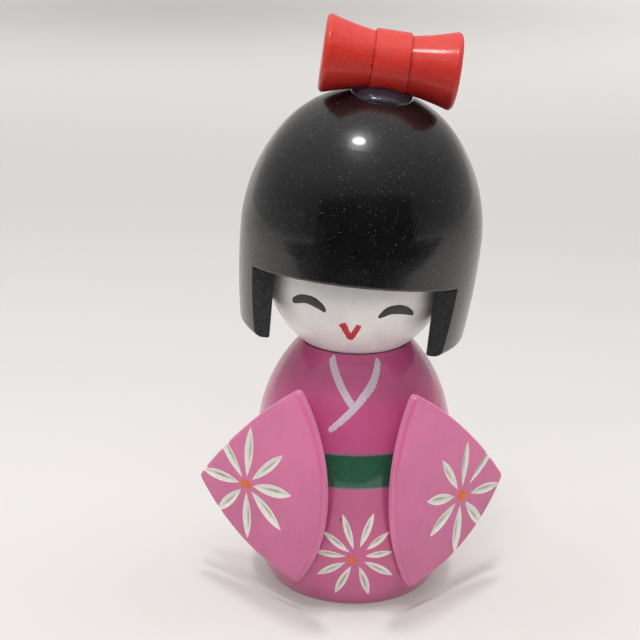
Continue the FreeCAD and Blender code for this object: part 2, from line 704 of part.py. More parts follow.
def draw_sleeve(sketch, hand, side):
    """Three arcs through the shoulder, hem and cuff corners; side is 1 on +X and -1 on -X."""
    corners = [f"{hand}_shoulder", f"{hand}_hem", f"{hand}_cuff"]
    radii = [f"{hand}_front_arc_radius", f"{hand}_hem_arc_radius", f"{hand}_top_arc_radius"]
    if side < 0:
        corners = [corners[0], corners[2], corners[1]]
        radii.reverse()
    points = [(side * dim(f"{corner}_across"), dim(f"{corner}_height")) for corner in corners]
    edges = [outline_arc(sketch, points[i], points[(i + 1) % 3], dim(radii[i])) for i in range(3)]
    for i in range(3):
        relate(sketch, "Coincident", edges[i], END, edges[(i + 1) % 3], START)
        measure(sketch, "DistanceX", edges[i], START, to=f"{side} * {cell(f'{corners[i]}_across')}")
        measure(sketch, "DistanceY", edges[i], START, to=cell(f"{corners[i]}_height"))
        measure(sketch, "Radius", edges[i], to=cell(radii[i]))


def make_sleeve(hand, side, petals):
    label = f"{hand}_sleeve"
    azimuth = f"placement(vector(0; 0; 0); rotation(vector(0; 0; 1); {side} * {cell('sleeve_azimuth')}))"
    plate = add_body(label + "_plate", azimuth)
    sketch = add_sketch(plate, "SleeveOutline", "XZ_Plane")
    sketch.setExpression("AttachmentOffset.Base.z", cell("sleeve_back_distance"))
    draw_sleeve(sketch, hand, side)
    pad = plate.newObject("PartDesign::Pad", "SleeveThickness")
    pad.Profile = sketch
    pad.setExpression("Length", cell("sleeve_thickness"))
    doc.recompute()
    corners = round_edges(plate, pad, "sleeve_corner_radius", lambda e: isinstance(e.Curve, Part.Line))
    back = -dim("sleeve_back_distance")
    front = back - dim("sleeve_thickness")
    front_edge = round_edges(plate, corners, "sleeve_front_rounding",
                             lambda e: all(abs(v.Point.y - front) < NEAR for v in e.Vertexes))
    round_edges(plate, front_edge, "sleeve_back_rounding",
                lambda e: all(abs(v.Point.y - back) < NEAR for v in e.Vertexes))
    face_distance = dim("sleeve_back_distance") + dim("sleeve_thickness")
    flower = add_cutters(label + "_flower", flat_petals(
        petals, side, dim("sleeve_flower_across"), dim(f"{hand}_flower_height"), face_distance))
    flower.setExpression("Placement", azimuth)
    sleeve = doc.addObject("Part::Cut", label)
    sleeve.Base = plate
    sleeve.Tool = flower
    return sleeve


# ---------------------------------------------------------------- assembly
peg = make_bow_peg()
bow = make_bow(peg)
hair = make_hair_cap(bow, peg)
nodes = {
    "body": make_body(),
    "neck_dowel": make_neck_dowel(),
    "left_sleeve": make_sleeve("left", -1, LEFT_PETALS),
    "right_sleeve": make_sleeve("right", 1, RIGHT_PETALS),
    "head_ball": make_head_ball(),
    "hair_cap": hair,
    "bow": bow,
    "bow_peg": peg,
    "bow_glue": make_bow_glue([hair, bow, peg]),
}
doc.recompute()

for obj in doc.Objects:
    if "Invalid" in obj.State or "Error" in obj.State:
        raise RuntimeError(f"{obj.Label} failed: {obj.State}")
for name, node in nodes.items():
    node.Label = name
    if node.Shape.isNull() or not node.Shape.isValid():
        raise RuntimeError(f"{name} has no valid shape")

os.makedirs("parts", exist_ok=True)
for name, node in nodes.items():
    node.Shape.exportStep(f"parts/{name}.step")
    box = node.Shape.BoundBox
    print(f"{name}: {node.Shape.Volume:.1f} mm3, {len(node.Shape.Solids)} solid,"
          f" z {box.ZMin:.2f} to {box.ZMax:.2f}")
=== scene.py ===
import math

import bmesh
import bpy
from mathutils import Matrix, Vector
from mathutils.noise import noise as value_noise


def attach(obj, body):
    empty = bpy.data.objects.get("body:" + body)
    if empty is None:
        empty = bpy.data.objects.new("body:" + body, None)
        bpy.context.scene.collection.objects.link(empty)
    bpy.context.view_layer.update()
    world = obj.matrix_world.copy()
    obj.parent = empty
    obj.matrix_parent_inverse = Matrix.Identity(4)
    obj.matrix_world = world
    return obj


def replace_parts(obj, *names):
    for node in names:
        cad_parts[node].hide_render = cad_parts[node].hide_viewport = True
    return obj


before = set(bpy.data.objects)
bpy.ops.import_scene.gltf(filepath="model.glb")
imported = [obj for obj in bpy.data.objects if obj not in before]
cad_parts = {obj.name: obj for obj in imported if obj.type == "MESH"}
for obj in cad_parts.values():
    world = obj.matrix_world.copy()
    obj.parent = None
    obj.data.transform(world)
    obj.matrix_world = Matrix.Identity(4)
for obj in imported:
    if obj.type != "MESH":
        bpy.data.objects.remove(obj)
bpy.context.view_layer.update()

MM = 0.001

# --------------------------------------------------- the part's own dimensions, in mm and degrees
BELLY_RADIUS, BELLY_HEIGHT = 21.0, 13.3
SKIRT_ARC, FLANK_ARC = 24.0, 154.7
SHOULDER_HEIGHT, SHOULDER_ARC = 33.8, 30.9
BALL_CENTRE, BALL_RADIUS = Vector((0, 0, 65.9)), 18.0
HEAD_ROLL, HEAD_PITCH, HEAD_YAW = 4.5, 2.4, -4.0
CUT_DISTANCE, FRINGE_HEIGHT, FRINGE_SLOPE = 13.3, 2.0, 9.0
HOLLOW_RADIUS, HOLLOW_WALL_TOP = 20.2, 4.5
BOW_CENTRE, BOW_ROLL = Vector((5.3, -2.3, 106.7)), 7.5
KNOT_HALF_LENGTH, BOW_END = 3.4, 12.7
CROWN_HEIGHT, CROWN_RADIUS = 14.63, 21.3
GLUE_CENTRE, GLUE_SPREAD = Vector((3.1, -2.35, 94.8)), 16.4
GLUE_PEAK, GLUE_SKIRT, GLUE_EDGE_SINK, GLUE_UNDERSIDE_SINK = 2.0, 0.85, 0.02, 0.1
SLEEVE_AZIMUTH, SLEEVE_FACE = 41.5, 22.2
GOUGE_DEPTH = 0.55

# ---------------------------------------------------------------- the painted decoration, in mm
BAND_LOW, BAND_HIGH, BAND_EDGE_WIDTH = 26.95, 33.95, 0.3
# Flowers on the sleeves: side, distance across and height of the centre.
SLEEVE_FLOWERS = {"left_sleeve": (-1, 9.35, 23.1), "right_sleeve": (1, 9.35, 21.2)}
# The flower on the body: azimuth in degrees and height of its centre, and how far it reaches.
BODY_FLOWER, BODY_FLOWER_REACH = (1.1, 12.7), 11.0
# Petals on the sleeves: direction in degrees (0 is outwards, 90 is up), root, tip and width.
PETALS = {
    "left_sleeve": [
        (96, 1.4, 13.1, 2.5),
        (137, 1.8, 13.8, 2.1),
        (173, 1.5, 12.5, 2.8),
        (-144, 1.4, 11.9, 2.9),
        (-91, 1.3, 12.0, 2.5),
        (-45, 1.7, 12.0, 2.3),
        (-2, 1.5, 12.6, 2.5),
        (49, 1.4, 11.5, 2.5),
    ],
    "right_sleeve": [
        (84, 1.6, 11.8, 1.9),
        (42, 2.6, 12.5, 1.8),
        (-3, 2.3, 11.4, 2.3),
        (-52, 1.7, 11.5, 2.4),
        (-96, 1.6, 12.6, 2.5),
        (-144, 1.6, 10.8, 2.5),
        (170, 1.7, 10.1, 2.5),
        (122, 1.7, 11.3, 2.0),
    ],
}
PETAL_MARGIN = 0.3
# Small pits in the lacquer, by azimuth and height on the body, and by distance across and
# height on the left sleeve, which also has a chip in its rim.
BODY_PITS, BODY_PIT_RADIUS = [(-7.5, 20.6), (-56, 3.4)], 0.3
SLEEVE_PITS = [(16.3, 22.9), (15.5, 23.0), (14.4, 23.0), (13.6, 23.0), (8.6, 27.1)]
SLEEVE_PIT_RADIUS, SLEEVE_CHIP_PLACE = 0.2, (-10.2, 37.4, -0.3)
# The orange centres: half their width and height, and where they sit.
SLEEVE_DOT_RADII, BODY_DOT_RADII = (1.5, 1.15), (1.05, 0.8)
SLEEVE_DOT_SHIFT, BODY_DOT_PLACE = 0.2, (-0.9, 12.0)
# How thick the paint lies, and how deep a layer's edge and its hidden underside are sunk.
FACE_PAINT, COLLAR_UNDER_PAINT, COLLAR_OVER_PAINT, DOT_PAINT = 0.09, 0.07, 0.11, 0.2
EDGE_SINK, UNDERSIDE_SINK = 0.04, 0.15
DOT_EDGE_SINK, DOT_UNDERSIDE_SINK = 0.03, 0.12


def turned(axis, degrees):
    return Matrix.Rotation(math.radians(degrees), 3, axis)


HEAD_LEAN = turned("Y", HEAD_ROLL) @ turned("X", HEAD_PITCH)
HEAD_TURN = HEAD_LEAN @ turned("Z", HEAD_YAW)
BOW_TURN = turned("Y", BOW_ROLL)


def srgb(red, green, blue):
    """A display colour of 0 to 255 as linear values."""
    def linear(value):
        value /= 255
        return value / 12.92 if value <= 0.04045 else ((value + 0.055) / 1.055) ** 2.4
    return (linear(red), linear(green), linear(blue), 1)


# ---------------------------------------------------------------- colours
# The sleeves' high pink is painted light towards their tops, and the rim pink is painted light.
PINK, PINK_LOW, PINK_PAINTED_TOP_LIGHT = srgb(206, 88, 142), srgb(208, 94, 148), srgb(234, 110, 168)
PINK_PAINTED_RIM_LIGHT, PINK_CHIP = srgb(236, 142, 186), srgb(240, 190, 212)
# The petals' valley colour is painted shade at the bottom of the gouges.
PETAL_WHITE, PETAL_PAINTED_VALLEY_SHADE = srgb(246, 243, 233), srgb(188, 186, 172)
PIT_BROWN = srgb(70, 62, 58)
BAND_EDGE, BAND_GREEN, BAND_DUST = srgb(128, 118, 122), srgb(27, 94, 66), srgb(120, 150, 130)
BASE_WOOD, BASE_GRAIN = srgb(214, 184, 142), srgb(188, 150, 104)
PEG_WOOD, PEG_GRAIN = srgb(222, 194, 152), srgb(192, 156, 110)
FACE_WHITE, FACE_CLOUD = srgb(244, 242, 240), srgb(240, 238, 235)
HAIR_BLACK, HAIR_FLECK, SAWN_GREY = srgb(17, 18, 19), srgb(160, 152, 128), srgb(52, 53, 54)
# The bow's under colour is painted shade and its warm colour is painted light.
BOW_RED, BOW_PALE, BOW_PAINTED_LIGHT = srgb(214, 30, 27), srgb(228, 46, 36), srgb(250, 84, 52)
# The bow's seam colour is painted shade in the crease at the knot's right end.
BOW_PAINTED_SHADE, BOW_GAP, BOW_PAINTED_SEAM_SHADE = srgb(92, 12, 12), srgb(64, 14, 12), srgb(120, 22, 20)
GLUE_BLUE, GLUE_DARK = srgb(70, 74, 92), srgb(40, 42, 54)
EYE_BLACK, MOUTH_RED = srgb(48, 46, 42), srgb(208, 32, 44)
COLLAR_WHITE, DOT_ORANGE = srgb(224, 204, 216), srgb(236, 110, 38)
# The paper's far colour is painted shade, and its glow colour is painted light.
PAPER_NEAR, PAPER_PAINTED_SHADE_COLOR = srgb(180, 177, 175), srgb(167, 164, 162)
PAPER_PAINTED_GLOW = (1.0, 0.965, 0.955, 1)
WALL_WHITE = (1.0, 0.975, 0.965, 1)
CARD_BLACK = srgb(20, 20, 21)


# ---------------------------------------------------------------- material helpers
def connect(links, socket, value):
    """Link a socket to another, or give it a plain value."""
    if isinstance(value, bpy.types.NodeSocket):
        links.new(value, socket)
    else:
        socket.default_value = value


class Look:
    """A procedural material under construction; places are in mm, in the doll's own frame."""

    def __init__(self, name):
        self.material = bpy.data.materials.new(name)
        self.material.use_nodes = True
        self.nodes = self.material.node_tree.nodes
        self.links = self.material.node_tree.links
        self.shader = self.nodes["Principled BSDF"]
        metres = self.nodes.new("ShaderNodeTexCoord").outputs["Object"]
        self.place = self.vector("SCALE", metres, Scale=1 / MM)

    def feed(self, socket, value):
        connect(self.links, socket, value)

    def math(self, operation, *values, clamp=False):
        node = self.nodes.new("ShaderNodeMath")
        node.operation, node.use_clamp = operation, clamp
        for socket, value in zip(node.inputs, values):
            self.feed(socket, value)
        return node.outputs[0]

    def vector(self, operation, *values, **named):
        node = self.nodes.new("ShaderNodeVectorMath")
        node.operation = operation
        for socket, value in zip(node.inputs, values):
            self.feed(socket, value)
        for name, value in named.items():
            self.feed(node.inputs[name], value)
        gives_number = operation in ("DOT_PRODUCT", "LENGTH", "DISTANCE")
        return node.outputs["Value" if gives_number else "Vector"]

    def along(self, direction, origin=Vector((0, 0, 0))):
        """The place's distance from the origin along a direction."""
        direction = Vector(direction)
        reach = self.vector("DOT_PRODUCT", self.place, tuple(direction))
        return self.math("SUBTRACT", reach, direction.dot(origin))

    def height(self):
        return self.along((0, 0, 1))

    def from_axis(self):
        flat = self.vector("MULTIPLY", self.place, (1, 1, 0))
        return self.vector("LENGTH", flat)

    def distance(self, point):
        return self.vector("DISTANCE", self.place, tuple(point))

    def hypotenuse(self, a, b):
        return self.math("SQRT", self.math("ADD", self.math("MULTIPLY", a, a),
                                           self.math("MULTIPLY", b, b)))

    def ramp(self, value, low, high, to_low=0.0, to_high=1.0):
        """A smooth step from one level to another as the value goes from low to high."""
        node = self.nodes.new("ShaderNodeMapRange")
        node.interpolation_type = "SMOOTHSTEP"
        for socket, item in zip(node.inputs, (value, low, high, to_low, to_high)):
            self.feed(socket, item)
        return node.outputs[0]

    def between(self, value, low, high, soft):
        """1 where the value lies between low and high, with soft edges."""
        rise = self.ramp(value, low - soft, low + soft)
        fall = self.ramp(value, high - soft, high + soft)
        return self.math("SUBTRACT", rise, fall, clamp=True)

    def noise(self, scale, detail=2.0, roughness=0.5, stretch=(1, 1, 1), place=None):
        """Smooth noise with this many features to the mm, finer along the stretched axes."""
        scaled = self.vector("MULTIPLY", place or self.place, stretch)
        node = self.nodes.new("ShaderNodeTexNoise")
        sockets = {"Vector": scaled, "Scale": scale, "Detail": detail, "Roughness": roughness}
        for name, value in sockets.items():
            self.feed(node.inputs[name], value)
        return node.outputs["Fac"]

    def cells(self, scale):
        """Scattered cells: the distance to the nearest centre and a random colour for each."""
        node = self.nodes.new("ShaderNodeTexVoronoi")
        self.feed(node.inputs["Vector"], self.place)
        self.feed(node.inputs["Scale"], scale)
        return node.outputs["Distance"], node.outputs["Color"]

    def blend(self, factor, first, second, kind="MIX"):
        node = self.nodes.new("ShaderNodeMix")
        node.data_type, node.blend_type = "RGBA", kind
        factor_socket, first_socket, second_socket = (node.inputs[i] for i in (0, 6, 7))
        self.feed(factor_socket, factor)
        self.feed(first_socket, first)
        self.feed(second_socket, second)
        return node.outputs[2]

    def shade(self, color, factor, low, high):
        """The colour made darker or lighter, from low to high as the factor goes from 0 to 1."""
        level = self.ramp(factor, 0.25, 0.75, low, high)
        tint = self.nodes.new("ShaderNodeCombineColor")
        for socket in tint.inputs:
            self.feed(socket, level)
        return self.blend(1.0, color, tint.outputs[0], "MULTIPLY")

    def bump(self, height, depth, normal=None):
        """Relief of this depth in mm."""
        node = self.nodes.new("ShaderNodeBump")
        self.feed(node.inputs["Distance"], depth * MM)
        self.feed(node.inputs["Height"], height)
        if normal:
            self.feed(node.inputs["Normal"], normal)
        return node.outputs["Normal"]

    def local(self, origin, turn):
        """The place in a turned frame at an origin, as a vector and as its three parts."""
        axes = ((1, 0, 0), (0, 1, 0), (0, 0, 1))
        parts = [self.along(turn @ Vector(axis), origin) for axis in axes]
        node = self.nodes.new("ShaderNodeCombineXYZ")
        for socket, part in zip(node.inputs, parts):
            self.feed(socket, part)
        return node.outputs[0], parts

    def finish(self, **sockets):
        """Set the shader's sockets, named with _ for spaces, and give the material."""
        for name, value in sockets.items():
            self.feed(self.shader.inputs[name.replace("_", " ")], value)
        return self.material


# ---------------------------------------------------------------- materials
def lacquer_finish(look, color, roughness, coat=1.0, coat_roughness=0.05, grain=0.006):
    """Brushed lacquer over turned wood: cloudy colour, faint grain and dust under a clear coat."""
    color = look.shade(color, look.noise(0.11, 3.0), 0.95, 1.05)
    color = look.shade(color, look.noise(0.9, 4.0, 0.7, (1, 1, 0.25)), 0.975, 1.025)
    dust, _ = look.cells(0.9)
    fleck = look.math("MULTIPLY", look.ramp(dust, 0.05, 0.09, 1.0, 0.0), 0.22)
    dusty = look.blend(1.0, color, (0.6, 0.6, 0.6, 1), "MULTIPLY")
    color = look.blend(fleck, color, dusty)
    relief = look.noise(0.55, 3.0, 0.55, (1, 1, 0.35))
    patches = look.noise(0.4, 2.0)
    return look.finish(
        Base_Color=color,
        Roughness=look.ramp(patches, 0.2, 0.8, roughness - 0.06, roughness + 0.06),
        Coat_Weight=coat,
        Coat_Roughness=coat_roughness,
        Normal=look.bump(relief, grain))


def petal_color(look, depth):
    """Off-white primer bared by the gouge, with painted shade down in the valley."""
    valley = look.ramp(depth, 0.62 * GOUGE_DEPTH, GOUGE_DEPTH)
    color = look.blend(valley, PETAL_WHITE, PETAL_PAINTED_VALLEY_SHADE)
    return look.shade(color, look.noise(1.6, 3.0, 0.6), 0.93, 1.04)


def spots(look, color, points, radius):
    """Small dark pits at these points."""
    for point in points:
        mask = look.ramp(look.distance(point), 0.6 * radius, 1.3 * radius, 0.85, 0.0)
        color = look.blend(mask, color, PIT_BROWN)
    return color


def body_surface(azimuth, height, lift=0.0):
    """A point of the body's outside, in mm; azimuth is in degrees from the front towards +X."""
    if height > SHOULDER_HEIGHT:
        turn = math.asin((SHOULDER_HEIGHT - BELLY_HEIGHT) / FLANK_ARC)
        edge = BELLY_RADIUS - FLANK_ARC + FLANK_ARC * math.cos(turn)
        arc_radius = SHOULDER_ARC
        centre = (edge - arc_radius * math.cos(turn), SHOULDER_HEIGHT - arc_radius * math.sin(turn))
    else:
        arc_radius = FLANK_ARC if height > BELLY_HEIGHT else SKIRT_ARC
        centre = (BELLY_RADIUS - arc_radius, BELLY_HEIGHT)
    slope = math.asin((height - centre[1]) / arc_radius)
    radius = centre[0] + (arc_radius + lift) * math.cos(slope)
    turn = math.radians(azimuth)
    return Vector((radius * math.sin(turn), -radius * math.cos(turn),
                   centre[1] + (arc_radius + lift) * math.sin(slope)))


def sleeve_axes(side):
    """The directions outwards along a sleeve's face and straight out of it; side is -1 or 1."""
    turn = math.radians(SLEEVE_AZIMUTH)
    outward = Vector((side * math.cos(turn), math.sin(turn), 0))
    facing = Vector((side * math.sin(turn), -math.cos(turn), 0))
    return outward, facing


def sleeve_point(side, across, height, lift=0.0):
    outward, facing = sleeve_axes(side)
    return outward * across + facing * (SLEEVE_FACE + lift) + Vector((0, 0, height))


def body_look():
    """Pink lacquer with the green band and bared petals, and bare end grain under the base."""
    look = Look("pink_lacquer_body")
    height, radius = look.height(), look.from_axis()

    def nominal(arc_radius):
        above = look.math("SUBTRACT", height, BELLY_HEIGHT)
        inside = look.math("SUBTRACT", arc_radius ** 2, look.math("MULTIPLY", above, above))
        return look.math("ADD", BELLY_RADIUS - arc_radius, look.math("SQRT", inside))

    upper = look.math("GREATER_THAN", height, BELLY_HEIGHT)
    flank, skirt = nominal(FLANK_ARC), nominal(SKIRT_ARC)
    step = look.math("MULTIPLY", upper, look.math("SUBTRACT", flank, skirt))
    depth = look.math("SUBTRACT", look.math("ADD", skirt, step), radius)
    from_flower = look.distance(body_surface(*BODY_FLOWER))
    near = look.ramp(from_flower, BODY_FLOWER_REACH, BODY_FLOWER_REACH + 0.3, 1.0, 0.0)
    petals = look.math("MULTIPLY", look.ramp(depth, 0.035, 0.075), near)

    waver = look.math("MULTIPLY", look.math("SUBTRACT", look.noise(0.7, 3.0), 0.5), 0.35)
    wavy = look.math("ADD", height, waver)
    color = look.blend(look.between(wavy, BAND_LOW, BAND_HIGH, 0.12), PINK, BAND_EDGE)
    green = look.shade(BAND_GREEN, look.noise(0.8, 4.0, 0.65, (1, 1, 2.5)), 0.8, 1.15)
    dust, _ = look.cells(1.1)
    green = look.blend(look.ramp(dust, 0.05, 0.1, 0.35, 0.0), green, BAND_DUST)
    band = look.between(wavy, BAND_LOW + BAND_EDGE_WIDTH, BAND_HIGH - BAND_EDGE_WIDTH, 0.1)
    color = look.blend(band, color, green)
    color = look.blend(petals, color, petal_color(look, depth))
    color = spots(look, color, [body_surface(*pit) for pit in BODY_PITS], BODY_PIT_RADIUS)

    waves = look.math("MULTIPLY", look.noise(1.2, 4.0, 0.6, (0.12, 1, 1)), 3.0)
    growth = look.math("SINE", look.math("MULTIPLY", look.math("ADD", radius, waves), 3.4))
    wood = look.blend(look.ramp(growth, -1.0, 1.0), BASE_WOOD, BASE_GRAIN)
    under = look.ramp(height, 0.05, 0.25, 1.0, 0.0)
    return lacquer_finish(look, look.blend(under, color, wood), roughness=0.42)


def petal_lenses(look, name, x, z):
    """1 inside the outlines of a sleeve's petals, with a margin, from its place on the face."""
    _, across, rise = SLEEVE_FLOWERS[name]
    lenses = 0.0
    for direction, root, tip, width in PETALS[name]:
        turn = math.radians(direction)
        cosine, sine = math.cos(turn), math.sin(turn)
        u = look.math("ADD", look.math("MULTIPLY", x, cosine), look.math("MULTIPLY", z, sine))
        u = look.math("SUBTRACT", u, across * cosine + rise * sine)
        v = look.math("SUBTRACT", look.math("MULTIPLY", z, cosine), look.math("MULTIPLY", x, sine))
        v = look.math("ABSOLUTE", look.math("SUBTRACT", v, rise * cosine - across * sine))
        part = look.math("DIVIDE", look.math("SUBTRACT", u, root), tip - root, clamp=True)
        arch = look.math("MULTIPLY", part, look.math("SUBTRACT", 1.0, part))
        reach = look.math("ADD", look.math("MULTIPLY", arch, 2.0 * width), PETAL_MARGIN)
        inside = look.math("LESS_THAN", v, reach)
        for test, end in (("GREATER_THAN", root - PETAL_MARGIN), ("LESS_THAN", tip + PETAL_MARGIN)):
            inside = look.math("MULTIPLY", inside, look.math(test, u, end))
        lenses = look.math("MAXIMUM", lenses, inside)
    return lenses


def sleeve_look(name):
    """Pink lacquer with bared petals, and painted light: brighter towards the top, lighter along
    the rim.
    """
    side = SLEEVE_FLOWERS[name][0]
    look = Look("pink_lacquer_" + name)
    outward, facing = sleeve_axes(side)
    x, z = look.along(outward), look.height()
    depth = look.math("SUBTRACT", SLEEVE_FACE, look.along(facing))
    lenses = petal_lenses(look, name, x, z)
    gouged = look.between(depth, 0.04, 1.5 * GOUGE_DEPTH, 0.02)
    petals = look.math("MULTIPLY", gouged, lenses)
    # Painted light: lighter pink over the rounded rim and the sides and back behind it.
    rim = look.math("MULTIPLY", look.ramp(depth, 0.0, 0.9), 0.75)
    # Painted light: the face brightens towards the top.
    face = look.blend(look.ramp(z, 8.0, 46.0), PINK_LOW, PINK_PAINTED_TOP_LIGHT)
    color = look.blend(rim, face, PINK_PAINTED_RIM_LIGHT)
    color = look.blend(petals, color, petal_color(look, depth))
    if name == "left_sleeve":
        pits = [sleeve_point(side, *pit) for pit in SLEEVE_PITS]
        color = spots(look, color, pits, SLEEVE_PIT_RADIUS)
        from_chip = look.distance(sleeve_point(side, *SLEEVE_CHIP_PLACE))
        color = look.blend(look.ramp(from_chip, 0.25, 0.55, 0.7, 0.0), color, PINK_CHIP)
    return lacquer_finish(look, color, roughness=0.38)


def face_look():
    look = Look("white_lacquer_face")
    clouds = look.ramp(look.noise(0.35, 3.0, 0.6), 0.35, 0.7)
    color = look.blend(clouds, FACE_WHITE, FACE_CLOUD)
    return lacquer_finish(look, color, roughness=0.35, coat=0.6, coat_roughness=0.16, grain=0.012)


def hair_look():
    """Glossy black lacquer with a metallic fleck; the sawn faces and the hollow stay matt."""
    look = Look("black_lacquer_hair")
    _, (x, y, z) = look.local(BALL_CENTRE, HEAD_TURN)
    front = look.math("ABSOLUTE", look.math("ADD", y, CUT_DISTANCE))
    ahead = look.math("SUBTRACT", look.math("MULTIPLY", y, -1.0), CUT_DISTANCE)
    rise = look.math("MULTIPLY", ahead, math.tan(math.radians(FRINGE_SLOPE)))
    under = look.math("ABSOLUTE", look.math("SUBTRACT", z, look.math("ADD", rise, FRINGE_HEIGHT)))
    low = look.ramp(z, FRINGE_HEIGHT - 0.3, FRINGE_HEIGHT + 0.1, 1.0, 0.0)
    front_face = look.math("MULTIPLY", look.ramp(front, 0.12, 0.3, 1.0, 0.0), low)
    fringe_face = look.math("MULTIPLY", look.ramp(under, 0.02, 0.06, 1.0, 0.0),
                            look.math("GREATER_THAN", ahead, -0.1))
    sawn = look.math("MAXIMUM", front_face, fringe_face)
    wall = look.ramp(look.hypotenuse(x, y), HOLLOW_RADIUS + 0.05, HOLLOW_RADIUS + 0.15, 1.0, 0.0)
    inside = look.math("MULTIPLY", wall, look.math("LESS_THAN", z, HOLLOW_WALL_TOP))
    rough = look.math("MAXIMUM", sawn, inside)

    color = look.shade(HAIR_BLACK, look.noise(0.12, 3.0), 0.8, 1.25)
    distance, tint = look.cells(2.2)
    chosen = look.math("GREATER_THAN", look.noise(1.7, 0.0), 0.5)
    sparkle = look.math("MULTIPLY", look.ramp(distance, 0.08, 0.17, 0.85, 0.0), chosen)
    color = look.blend(sparkle, color, look.blend(0.22, HAIR_FLECK, tint))
    pitted = look.noise(1.7, 5.0, 0.75)
    color = look.blend(rough, color, look.shade(SAWN_GREY, pitted, 0.25, 1.7))
    gloss = look.ramp(look.noise(0.25, 3.0), 0.2, 0.8, 0.25, 0.32)
    smooth = look.bump(look.noise(0.35, 3.0, 0.5), 0.012)
    return look.finish(
        Base_Color=color,
        Roughness=look.math("MAXIMUM", gloss, look.math("MULTIPLY", rough, 0.72)),
        Specular_IOR_Level=0.5,
        Coat_Weight=look.math("MULTIPLY", look.math("SUBTRACT", 1.0, rough), 0.55),
        Coat_Roughness=0.1,
        Normal=look.bump(look.math("MULTIPLY", pitted, rough), 0.5, smooth))


def bow_look():
    """Red stain on turned wood, grain along the bow, tool ridges round it; painted shade under,
    light on top.
    """
    look = Look("red_stain_bow")
    place, (x, y, z) = look.local(BOW_CENTRE, BOW_TURN)
    grain = look.noise(1.1, 5.0, 0.65, (0.18, 1, 1), place)
    fine = look.noise(3.2, 4.0, 0.7, (0.3, 1, 1), place)
    color = look.blend(look.ramp(grain, 0.3, 0.7), BOW_RED, BOW_PALE)
    color = look.shade(color, fine, 0.86, 1.08)
    # Painted shade darkens the bow towards its underside, and painted light warms its top.
    painted_top_light = look.ramp(look.along((0, -0.35, 1), BOW_CENTRE), -7.0, 4.5)
    color = look.blend(painted_top_light, look.blend(0.5, color, BOW_PAINTED_SHADE), color)
    color = look.blend(look.math("MULTIPLY", painted_top_light, 0.15), color, BOW_PAINTED_LIGHT)

    ends = look.ramp(look.math("ABSOLUTE", x), BOW_END, BOW_END + 0.14)
    from_axis = look.hypotenuse(y, z)
    rings = look.math("SINE", look.math("MULTIPLY", look.math("ADD", from_axis, grain), 7.0))
    ringed = look.math("MULTIPLY_ADD", look.math("MULTIPLY", rings, ends), 0.4, 0.5)
    color = look.shade(color, ringed, 0.85, 1.1)

    def groove(side, inner, outer):
        """1 in the line where the knot meets the left (-1) or right (1) end."""
        place_across = side * (KNOT_HALF_LENGTH + 0.1)
        off = look.math("ABSOLUTE", look.math("SUBTRACT", x, place_across))
        return look.ramp(off, inner, outer, 1.0, 0.0)

    gaps = look.ramp(look.noise(2.6, 2.0), 0.46, 0.6)
    color = look.blend(look.math("MULTIPLY", groove(-1, 0.06, 0.22), gaps), color, BOW_GAP)
    # Painted shade: a soft dark line in the crease where the knot meets the right end.
    color = look.blend(look.math("MULTIPLY", groove(1, 0.05, 0.25), 0.55), color, BOW_PAINTED_SEAM_SHADE)

    ridges = look.noise(1.0, 3.0, 0.6, (4.5, 0.25, 0.25), place)
    relief = look.math("ADD", look.math("MULTIPLY", grain, 0.6), look.math("MULTIPLY", fine, 0.4))
    relief = look.math("MULTIPLY_ADD", ridges, 0.55, relief)
    return look.finish(
        Base_Color=color,
        Roughness=look.ramp(fine, 0.25, 0.75, 0.36, 0.52),
        Coat_Weight=0.5,
        Coat_Roughness=0.17,
        Normal=look.bump(relief, 0.2))


def bare_wood_look(name):
    look = Look(name)
    streaks = look.noise(1.4, 4.0, 0.6, (1, 1, 0.08))
    color = look.blend(look.ramp(streaks, 0.3, 0.7), PEG_WOOD, PEG_GRAIN)
    return look.finish(Base_Color=color, Roughness=0.62, Normal=look.bump(streaks, 0.05))


def clear_glue_look():
    """Thick clear glue: the black lacquer shows through, with a bluish cast and a hard shine."""
    look = Look("clear_glue")
    ripple = look.noise(0.9, 2.0, 0.5)
    tint = look.blend(look.ramp(look.noise(1.3, 2.0), 0.4, 0.8), GLUE_BLUE, GLUE_DARK)
    return look.finish(
        Base_Color=tint,
        Roughness=0.08,
        IOR=1.47,
        Transmission_Weight=0.45,
        Coat_Weight=1.0,
        Coat_Roughness=0.03,
        Normal=look.bump(ripple, 0.2))


def paint_look(name, color, roughness, patchy):
    """Hand-brushed paint whose colour and gloss vary along the strokes."""
    look = Look(name)
    streaks = look.noise(2.2, 4.0, 0.65, (1, 1, 0.6))
    return look.finish(
        Base_Color=look.shade(color, streaks, 1 - patchy, 1 + patchy / 2),
        Roughness=look.ramp(streaks, 0.2, 0.8, roughness - 0.08, roughness + 0.08),
        Coat_Weight=0.3,
        Coat_Roughness=0.2,
        Normal=look.bump(streaks, 0.03))


def dress(node, material):
    """Give a CAD node its material."""
    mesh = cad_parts[node].data
    mesh.materials.clear()
    mesh.materials.append(material)


dress("body", body_look())
dress("left_sleeve", sleeve_look("left_sleeve"))
dress("right_sleeve", sleeve_look("right_sleeve"))
dress("head_ball", face_look())
dress("hair_cap", hair_look())
dress("bow", bow_look())
dress("neck_dowel", bare_wood_look("dowel_wood"))
dress("bow_peg", bare_wood_look("peg_wood"))


# ---------------------------------------------------------------- pieces of paint and glue
def add_object(name, data):
    thing = bpy.data.objects.new(name, data)
    bpy.context.scene.collection.objects.link(thing)
    return thing


